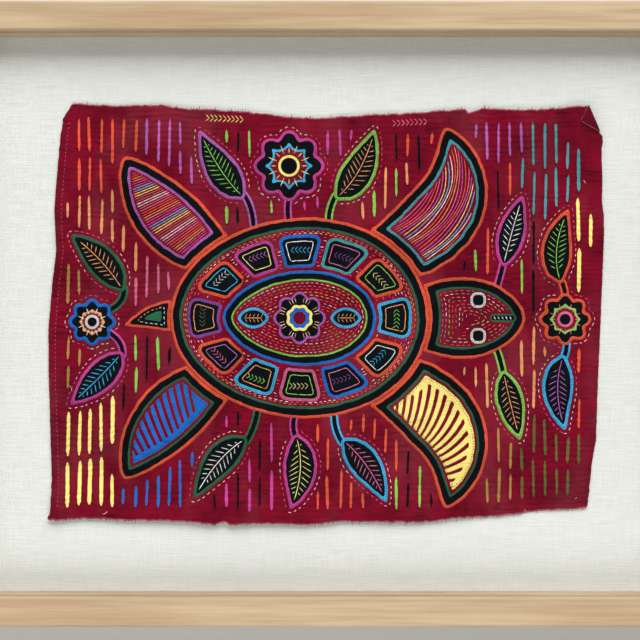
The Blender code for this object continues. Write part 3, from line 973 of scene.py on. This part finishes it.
def contours(field, level, shortest=8):
    """Lines of points where the field has a value."""
    above = field > level
    changes_x = above[:, :-1] != above[:, 1:]
    changes_y = above[:-1, :] != above[1:, :]
    cells = np.argwhere(changes_x[:-1] | changes_x[1:] | changes_y[:, :-1] | changes_y[:, 1:])
    links = {}
    for j, i in cells:
        sides = [
            key
            for key, changed in (
                (("x", j, i), changes_x[j, i]),
                (("y", j, i + 1), changes_y[j, i + 1]),
                (("x", j + 1, i), changes_x[j + 1, i]),
                (("y", j, i), changes_y[j, i]),
            )
            if changed
        ]
        for a, b in zip(sides[::2], sides[1::2]):
            links.setdefault(a, []).append(b)
            links.setdefault(b, []).append(a)

    def spot(key):
        """The place on a side of a cell where the field has the value."""
        kind, j, i = key
        j2, i2 = (j, i + 1) if kind == "x" else (j + 1, i)
        share = (level - field[j, i]) / (field[j2, i2] - field[j, i])
        return (
            GRID_X[i] + (GRID_X[i2] - GRID_X[i]) * share,
            GRID_Y[j] + (GRID_Y[j2] - GRID_Y[j]) * share,
        )

    lines, seen = [], set()
    for start in sorted(links):
        if start in seen:
            continue
        line, here = [start], start
        seen.add(start)
        while True:
            onward = [key for key in links[here] if key not in seen]
            if not onward:
                break
            here = onward[0]
            seen.add(here)
            line.append(here)
        if len(line) >= shortest:
            line.append(start)
            lines.append(np.array([spot(key) for key in line]))
    return lines


def running(line, stitch, gap, width, colours, skip=0.0, keep=None, change=6):
    """Running stitches along a line, each colour for some stitches by turns, where keep is above zero."""
    line = np.asarray(line, float)
    at, number, long = skip, 0, run_of(line)[-1]
    while at + stitch < long:
        reach = stitch * jitter.uniform(0.75, 1.2)
        ends = points_at(line, [at, at + reach]) + jitter.uniform(-0.15, 0.15, (2, 2))
        if keep is None or sampled(keep, *ends.mean(0)) > 0:
            thread(ends, width, colours[number // change % len(colours)])
        at += reach + gap * jitter.uniform(0.8, 1.3)
        number += 1


def ear(line, arm, spacing, colour, width):
    """A row of slanting stitches on both sides of a line, like an ear of corn."""
    line = resampled(line, spacing)
    for spot, along in zip(line[1:-1], headings(line)[1:-1]):
        for side in (-1, 1):
            tip = spot - along * arm * 0.8 + left_of(along) * side * arm
            shift = jitter.uniform(-0.18, 0.18, 2)
            thread([spot + shift + along * 0.5, tip + shift * 0.5], width, colour)


# %% [markdown]
# ### Stitches on the turtle
# The red places are quilted: rows of small running stitches follow the outlines and hold the layers together.
# They could be a pattern in the finish, but raised stitches catch the light from the side. A line on which a
# field has one value keeps the same distance to the edge all the way, so each such line carries a row. A loop
# and an ear of stitches fill each panel, and long stitches fill the upper flippers.

# %% Shell and head stitches
LOOPS = ["peach", "lime", "pink", "white", "yellow", "cyan", "peach", "orchid"]
EAR_COLOURS = ["lime", "yellow", "purple", "cyan", "orchid", "white", "olive", "pink"]
for line in contours(panel, 5.0, 12):
    thread(resampled(line, 1.6), 0.6, LOOPS[PANEL_OF[cell(*line.mean(0))] % len(LOOPS)])
for number in range(PANELS):
    middle = oval_at(24.5, number + np.linspace(-0.27, 0.27, 9))
    ear(middle, 2.4, 3.0, EAR_COLOURS[number % len(EAR_COLOURS)], 0.42)

for level, colours in ((10.6, ["pink", "peach"]), (12.0, ["white", "orange", "lime"])):
    for line in contours(shell, level):
        running(line, 2.4, 1.6, 0.5, colours)
for level in np.arange(14.5, 38, 2.4):
    for line in contours(shell, level):
        running(line, 2.4, 1.6, 0.45, ["orange", "pink", "white"], keep=-1.2 - panel)

clear = -1.4 - np.maximum(rosette, shell_leaves)
SHELL_ROWS = [["white", "peach"], ["pink", "lime"], ["orange"]]
for number, level in enumerate(np.arange(49.6, 76, 2.3)):
    for line in contours(shell, level, 14):
        running(line, 2.4, 1.5, 0.45, SHELL_ROWS[number % len(SHELL_ROWS)], keep=clear)

clear = -1.4 - np.maximum(eyes, mouth)
HEAD_ROWS = [["orange", "pink"], ["white", "turquoise"], ["lime", "peach"], ["pink", "orange"]]
for number, level in enumerate(np.arange(10.2, 30, 2.5)):
    for line in contours(head, level, 10):
        running(line, 2.6, 1.5, 0.48, HEAD_ROWS[number % len(HEAD_ROWS)], skip=number * 0.9, keep=clear)
for x in (127.5, 130.5, 133.5, 136.5, 139.5):
    thread([(x - 0.6, -1.9), (x + 0.6, -4.1)], 0.7, "white")

# %% Flipper and tail stitches
ALONG = ["pink", "peach", "orange", "white", "cyan", "yellow", "orchid", "pink", "orange", "magenta"]
CROSS = ["orange", "pink", "white", "rose", "yellow", "cyan", "magenta", "peach"]
# How deep inside a flipper its long stitches stay, in mm.
FRONT_INSET, REAR_INSET = 9.9, 9.6
spine = resampled(curved(*SPINES["front_flipper_upper"]), 1.0)
across = left_of(headings(spine))
for number, offset in enumerate(np.arange(-24, 24, 2.1)):
    line = spine + across * (offset + 0.5 * np.sin(np.arange(len(spine)) / 9 + number))[:, None]
    good = np.flatnonzero(sampled(DEPTHS["front_flipper_upper"], *line.T) > FRONT_INSET)
    if len(good) > 6:
        thread(line[good[0] : good[-1] + 1 : 2], 0.6, ALONG[number % len(ALONG)], 0.22)

spine = resampled(curved(*SPINES["rear_flipper_upper"]), 1.0)
reach = np.arange(-40, 40, 0.5)
for number, at in enumerate(np.arange(6, len(spine) - 6, 1.9)):
    here, part = int(at), at - int(at)
    start = spine[here] * (1 - part) + spine[here + 1] * part
    heading = (spine[here + 2] - spine[here - 1]) / np.hypot(*(spine[here + 2] - spine[here - 1]))
    lean = left_of(heading) + 0.25 * heading
    spots = (start + np.outer(reach, lean)).T
    good = reach[sampled(DEPTHS["rear_flipper_upper"], *spots) > REAR_INSET]
    if len(good) > 6:
        ends = start + np.outer([good[0], good[-1]], lean)
        thread(resampled(ends, 2.0), 0.55, CROSS[number // 2 % len(CROSS)], 0.22)
for line in contours(DEPTHS["tail"], 4.2, 10):
    running(line, 2.2, 1.4, 0.5, ["white", "peach"])
print("turtle:", sum(len(faces) for _, faces in THREADS.values()), "faces of thread")

# %% [markdown]
# Every folded edge is held down by tiny slanting stitches, which nick the line of colour. Their thread is the
# edge's colour at half its brightness, which is painted shade of the nicks that they pull into the fold. They
# could be a dotted line in the finish, but they hold the edge down and so they cross it, half on the fold and
# half off it.

# %% Hems
# Each hem's field, the depth of its folded edge and its colour.
HEMS = [(DEPTHS[name], 0.0, "orange") for name in PATCHES if not name.startswith(("leaf", "flower"))]
HEMS += [(DEPTHS[name], 0.0, border) for name, (border, _) in LEAVES.items()]
HEMS += [(DEPTHS[name], 0.0, rim) for name, _x, _y, _radius, rim, _line, _heart in FLOWERS]
HEMS += [(shell, 7.2, "green"), (head, 7.2, "green"), (shell - 40, 0.0, "blue"), (shell - 40, 6.4, "lime")]
HEMS += [(DEPTHS["front_flipper_upper"], 7.0, "turquoise"), (DEPTHS["rear_flipper_upper"], 7.0, "orchid")]
for name, bright in (("front_flipper_lower", "yellow"), ("rear_flipper_lower", "blue")):
    HEMS += [(DEPTHS[name], 6.8, "green"), (DEPTHS[name], 10.2, bright)]
HEMS += [(rosette, 0.0, "orchid"), (shell_leaves, 0.0, "cyan"), (eyes, 0.0, "white")]
HEMS += [(np.where(PANEL_OF == k, panel, OUTSIDE), 0.0, colour) for k, colour in enumerate(PANEL_COLOURS)]
for field, level, colour in HEMS:
    for line in contours(field, level + 1.0, 10):
        spots = resampled(line, 1.9)
        for spot, along in zip(spots, headings(spots)):
            spot = spot + jitter.uniform(-0.25, 0.25, 2)
            lean = (left_of(along) + 0.45 * along) * jitter.uniform(0.6, 0.95)
            thread([spot - lean, spot + lean], 0.55, f"{colour}_hem", 0.26)

# %% [markdown]
# ### Leaves, flowers and ground
# A vein runs from each leaf's root to its tip, with short stitches slanting off it, and flowers have spokes.
# Both are few and large, so each is laid by its own rule. A row of running stitches goes round every leaf and
# flower on the red ground.

# %% Leaf and flower stitches
for name, (_, colour) in LEAVES.items():
    vein = resampled(curved(*SPINES[name]), 1.0)[4:-8]
    thread(vein[::2], 0.65, colour, 0.22)
    for here in range(4, len(vein) - 3, 4):
        heading = headings(vein)[here]
        wide = sampled(DEPTHS[name], *vein[here]) - 3.8
        for side in (-1, 1):
            if wide > 2.0:
                aside = left_of(heading) * side
                tip = vein[here] + aside * wide + heading * wide * 0.55
                thread([vein[here] + aside * 1.2, tip], 0.55, colour)


def spoke(x, y, turn, near, far, width, colour):
    """A stitch that points away from a centre, between two distances from it."""
    ends = [(x + reach * math.cos(turn), y + reach * math.sin(turn)) for reach in (near, far)]
    thread(ends, width, colour)


for name, x, y, radius, _rim, line, heart in FLOWERS:
    for number in range(16):
        far = radius * (0.62 if number % 2 else 0.52)
        spoke(x, y, number * math.pi / 8, radius * 0.36, far, 0.55, heart)
for number in range(8):
    for shift in (-0.16, 0, 0.16):
        turn = math.pi / 8 + number * math.pi / 4 + shift
        spoke(SHELL_X, SHELL_Y, turn, 11.6, 15.6, 0.5, "peach" if shift else "white")
for x in (-55, 15):
    thread([(x - 9, SHELL_Y), (x + 9, SHELL_Y)], 0.5, "peach")
    for step in np.arange(-6, 8, 3):
        for side in (-1, 1):
            ends = [(x + step, SHELL_Y + side * 0.8), (x + step + 1.2, SHELL_Y + side * 3.2)]
            thread(ends, 0.45, "peach")

# %% Ground stitches
small = np.max([field for name, field in DEPTHS.items() if name.startswith(("leaf", "flower"))], axis=0)
turtle = np.max([field for name, field in DEPTHS.items() if not name.startswith(("leaf", "flower"))], axis=0)
keep = np.minimum(-2.0 - np.maximum(turtle, stem), CLOTH - 3)
for line in contours(np.maximum(small, -9.5), -2.6):
    running(line, 2.4, 2.0, 0.45, ["white", "pink"], keep=keep, change=9)
for start, end, colour in EARS:
    ear([start, end], 2.6, 3.2, colour, 0.6)

# %% [markdown]
# ### Edges
# The top and bottom edges are raw, and short ends of thread stick out of them. A few are long, as in real
# fray. Hair strands would do for a deep fringe, but here each end is a stitch like the others. The left edge
# is turned under and has a row of small stitches beside it. A few pale ends lie loose on the cloth.

# %% Fray, seam and loose ends
run = resampled(contours(CLOTH, 0.4, 200)[0], 0.75)
for (ax, ay), (bx, by) in zip(run, run[1:]):
    if abs(by - ay) > abs(bx - ax) or abs(ay) < 120:
        continue
    out = 1 if ay > 0 else -1
    long = jitter.uniform(0.5, 1.4) if jitter.random() < 0.9 else jitter.uniform(1.6, 3.0)
    lean = jitter.uniform(-0.6, 0.6)
    colour = "rose" if jitter.random() < 0.65 else "red"
    thread([(ax, ay - out * 0.6), (ax + lean, ay + out * long)], 0.42, colour)
    thread([(ax, ay - out * 0.1), (bx, by - out * jitter.uniform(0, 0.3))], 0.5, "rose", 0.24)
for (ax, ay), (bx, by) in ((FOLD_TOP, FOLD_TIP), (FOLD_TIP, FOLD_LOW)):
    for share in np.arange(0.02, 1, 0.05):
        x, y = ax + (bx - ax) * share, ay + (by - ay) * share
        path = np.array([(x, y), (x + (bx - ax) * 0.06, y + (by - ay) * 0.06)])
        thread(path + jitter.uniform(-0.35, 0.35, (2, 2)), 0.4, "rose", 2.4)
for line in contours(np.where(X < -150, CLOTH, 20), 5.2, 60):
    line = line[(line[:, 0] < -160) & (np.abs(line[:, 1]) < 146)]
    running(line[np.argsort(line[:, 1])], 1.6, 1.5, 0.4, ["rose"])
# Where each loose end starts, its first heading in degrees and its length: x, y, heading, length.
LOOSE_ENDS = [
    (-193, -60, 70, 7), (-188, -92, 20, 4), (-170, -151, -10, 6), (188, -140, 10, 2.5), (150, -150, 40, 2.5),
    (196, 98, 80, 4),
]
for x, y, turn, long in LOOSE_ENDS:
    bend = np.radians(turn + np.linspace(0, 70, 6))
    path = np.cumsum(np.column_stack([np.cos(bend), np.sin(bend)]) * long / 6, axis=0)
    thread(np.array([x, y]) + path, 0.28, "white", 0.25)

# %% [markdown]
# Each colour's threads now become one piece, because thousands of loose stitches would be slow to handle.

# %% Gather the threads
for colour, (points, faces) in sorted(THREADS.items()):
    if colour.endswith("_hem"):
        # Hem thread: its edge's colour at half brightness, painted shade of the nicks in the fold.
        FLOSSES[colour] = floss(f"thread_{colour}", shade(COLOURS[colour[:-4]], 0.5))
    add_piece(f"threads_{colour}", points, faces, [FLOSSES[colour]])
print(len(THREADS), "pieces of thread,", sum(len(faces) for _, faces in THREADS.values()), "faces")

# %% [markdown]
# ## Linen
# Behind the panel is unbleached linen, stretched over the board. Its flax is spun unevenly, so thick and thin
# threads show as streaks both ways: the thick ones are raised in the bump, and away from them the colour is
# darkened as painted shade. It could be draped, but a stretched cloth is flat, so a grid with hardly any
# waves serves, given its thickness by a modifier. Real linen has threads of about 0.5 mm. They are drawn at
# 0.95 mm, as coarse as they need to be to show from where the camera is.

# %% Linen sheet
low, high = (np.array(corner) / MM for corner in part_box("linen_mount"))
across, up = np.linspace(low[0], high[0], 91), np.linspace(low[1], high[1], 73)
x, y = np.meshgrid(across, up)
z = high[2] - 0.12 + 0.1 * noise(x, y, 60, 60, 41)
points = np.column_stack([x.ravel(), y.ravel(), z.ravel()])

material, tree, shader, place = begin("linen")
weave = woven(tree, place, 0.00095, 0.14)
# Thick threads, 1 mm wide and 22 mm long. Those from side to side are the stronger.
warp = mottled(tree, place, (1000, 45, 1), 2.0, 0.6, 0.3, 0.7, most=0.6)
weft = mottled(tree, place, (45, 1000, 1), 2.0, 0.6, 0.3, 0.7)
slubs = add(tree, "Math", [warp, weft], operation="ADD")
# Painted shade: away from the thick threads the linen is a little darker.
slub_shade = add(tree, "MapRange", [slubs, 0.2, 1.4, 1.0, 0.0], interpolation_type="SMOOTHSTEP")
# Painted shade of the weave, as on the cotton.
weave_shade = add(tree, "MapRange", [weave, 0.0, 1.0, 0.0, 0.3], interpolation_type="SMOOTHSTEP")
# Cloudy places of about 110 mm, all a little bleached.
cloud = mottled(tree, place, 9, 3.0, 0.5, 0.3, 0.7)
colour = tinted(tree, "D8D8D5", [(cloud, "E0DFDB"), (0.45, "F3F2EF"), (slub_shade, "DADCD7"), (weave_shade, "BEC1BE")])
height = add(tree, "Math", [slubs, 0.8, weave], operation="MULTIPLY_ADD")
normal = add(tree, "Bump", {"Height": height, "Strength": 0.5, "Distance": 0.0002})
wire(shader, {"Base Color": colour, "Normal": normal, "Roughness": 0.92, "Sheen Weight": 0.1})
linen = add_piece("linen_sheet", points, quads(len(up), len(across)), [material])
thickness = linen.modifiers.new("thickness", "SOLIDIFY")
thickness.thickness = 0.9 * MM
thickness.offset = -1
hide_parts("linen_mount")
print("linen:", len(linen.data.polygons), "faces")

# %% [markdown]
# ## Frame, board and glass
# The rails keep the plain model's shape. They are a pale hardwood such as ash, planed, sanded and oiled, so
# the eye finds a satin face with fine pores and broad soft bands, both drawn out along each rail. One wood
# with its grain along X would run across the uprights, so each rail gets its own. The board is fibreboard,
# pressed from brown fibres, dull and flecked. The pane is float glass, clear and perfectly smooth.

# %% Wood, board and glass


def wood(name, lengthwise):
    """Pale satin wood whose grain runs along X, or along Y for the uprights."""
    material, tree, shader, place = begin(name)
    # Pores 2.4 mm wide and 70 mm long, and bands 17 mm wide and 250 mm long.
    fine, broad = ((14, 420, 420), (4, 60, 60)) if lengthwise else ((420, 14, 420), (60, 4, 60))
    pores = mottled(tree, place, fine, 4.0, 0.6, 0.35, 0.7)
    bands = mottled(tree, place, broad, 3.0, 0.5, 0.35, 0.65)
    dark = add(tree, "Math", [pores, 0.45], operation="MULTIPLY")
    colour = tinted(tree, "B3987A", [(bands, "C4AC8C"), (dark, "9A7F5E")])
    roughness = add(tree, "MapRange", [pores, 0.0, 1.0, 0.38, 0.55], interpolation_type="SMOOTHSTEP")
    normal = add(tree, "Bump", {"Height": pores, "Strength": 0.25, "Distance": 0.0002})
    wire(shader, {"Base Color": colour, "Roughness": roughness, "Normal": normal})
    return material


def dress(node, material):
    """Gives a piece of the plain model its finish."""
    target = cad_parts[node]
    target.data.materials.clear()
    target.data.materials.append(material)


for node in ("rail_bottom", "rail_top", "rail_left", "rail_right"):
    dress(node, wood(f"wood_{node}", node in ("rail_bottom", "rail_top")))

# Flecks of 1.4 mm.
material, tree, shader, place = begin("fibreboard")
fleck = mottled(tree, place, 700, 4.0, 0.7, 0.35, 0.7)
normal = add(tree, "Bump", {"Height": fleck, "Strength": 0.3, "Distance": 0.0002})
colour = tinted(tree, "8A6B4B", [(fleck, "A58460")])
wire(shader, {"Base Color": colour, "Normal": normal, "Roughness": 0.8})
dress("backing_board", material)

# A bending pane would turn the view into the cloth aside, but one this thin hardly does. So light passes
# straight through, and only the front of each face mirrors, more so at a slant.
material, tree, shader, _ = begin("glass")
tree.nodes.remove(shader)
clear = add(tree, "BsdfTransparent", {"Color": (0.985, 0.99, 0.985, 1.0)})
shine = add(tree, "BsdfGlossy", {"Color": linear("FFFFFF"), "Roughness": 0.02})
fresnel = add(tree, "Fresnel", {"IOR": 1.45})
front = add(tree, "Math", [1.0, add(tree, "NewGeometry", {}, "Backfacing")], operation="SUBTRACT")
mirrored = add(tree, "Math", [fresnel, front], operation="MULTIPLY")
pane = add(tree, "MixShader", [mirrored, clear, shine])
wire(tree.nodes["Material Output"], {"Surface": pane})
dress("glass_pane", material)

# %% [markdown]
# ## Soft goods
# The panel's own outline gives its width and height and the points along it.

width, height = OUTLINE.max(0) - OUTLINE.min(0)
x, y = OUTLINE.T

# %% [markdown]
# ## Floor, light and camera
# The camera looks straight down from 0.9 m. The light comes softly from the top of the picture, as from a
# tall window. A picture of a room could light it too, but the pane would mirror that room. So the sky is
# plain: pale near the horizon and dark overhead, so that it doesn't veil the blacks in the glass. The lights
# are kept out of reflections for the same reason.

# %% Floor and sky
bpy.ops.mesh.primitive_plane_add(size=6, location=(0, 0, 0))
floor = bpy.context.active_object
floor.name = "floor"
material, tree, shader, _ = begin("floor_paint")
wire(shader, {"Base Color": linear("D2D2D0"), "Roughness": 0.9})
floor.data.materials.append(material)

world = bpy.data.worlds.new("studio")
bpy.context.scene.world = world
world.use_nodes = True
tree = world.node_tree
upwards = add(tree, "SeparateXYZ", [add(tree, "TexCoord", {}, "Generated")], "Z")
strength = add(tree, "MapRange", [upwards, 0.55, 0.97, 0.5, 0.02])
wire(tree.nodes["Background"], {"Color": linear("FFFFFF"), "Strength": strength})

# %% Lights


def area_light(name, place, target, size, watts):
    """A rectangular light that points at a target. Sizes are in metres."""
    data = bpy.data.lights.new(name, "AREA")
    data.shape = "RECTANGLE"
    data.size, data.size_y = size
    data.energy = watts
    light = bpy.data.objects.new(name, data)
    bpy.context.scene.collection.objects.link(light)
    light.location = place
    light.visible_glossy = False
    light.rotation_euler = (Vector(target) - Vector(place)).to_track_quat("-Z", "Y").to_euler()


area_light("window", (1.0, 4.8, 3.9), (0, 0, 0), (4.6, 4.4), 560)
area_light("fill", (-0.4, -1.5, 1.3), (0, -0.1, 0), (1.8, 1.2), 22)

# %% Camera
# The picture is 640 pixels wide, each 0.757 mm on the cloth, and its middle is 6 pixels off the frame's.
PICTURE_WIDTH, PIXEL = 640, 0.757
VIEW_CENTRE = Vector((-6 * PIXEL * MM, -6 * PIXEL * MM, 9 * MM))
DISTANCE, SENSOR = 0.9, 36
camera = bpy.data.objects.new("camera", bpy.data.cameras.new("camera"))
bpy.context.scene.collection.objects.link(camera)
camera.location = VIEW_CENTRE + Vector((0, 0, DISTANCE))
camera.data.sensor_width = SENSOR
camera.data.lens = SENSOR * DISTANCE / (PICTURE_WIDTH * PIXEL * MM)
camera.data.clip_start = 0.01
bpy.context.scene.camera = camera
bpy.context.scene.view_settings.view_transform = "Standard"
print("camera:", round(camera.data.lens, 1), "mm lens at", round(camera.location.z, 3), "m")
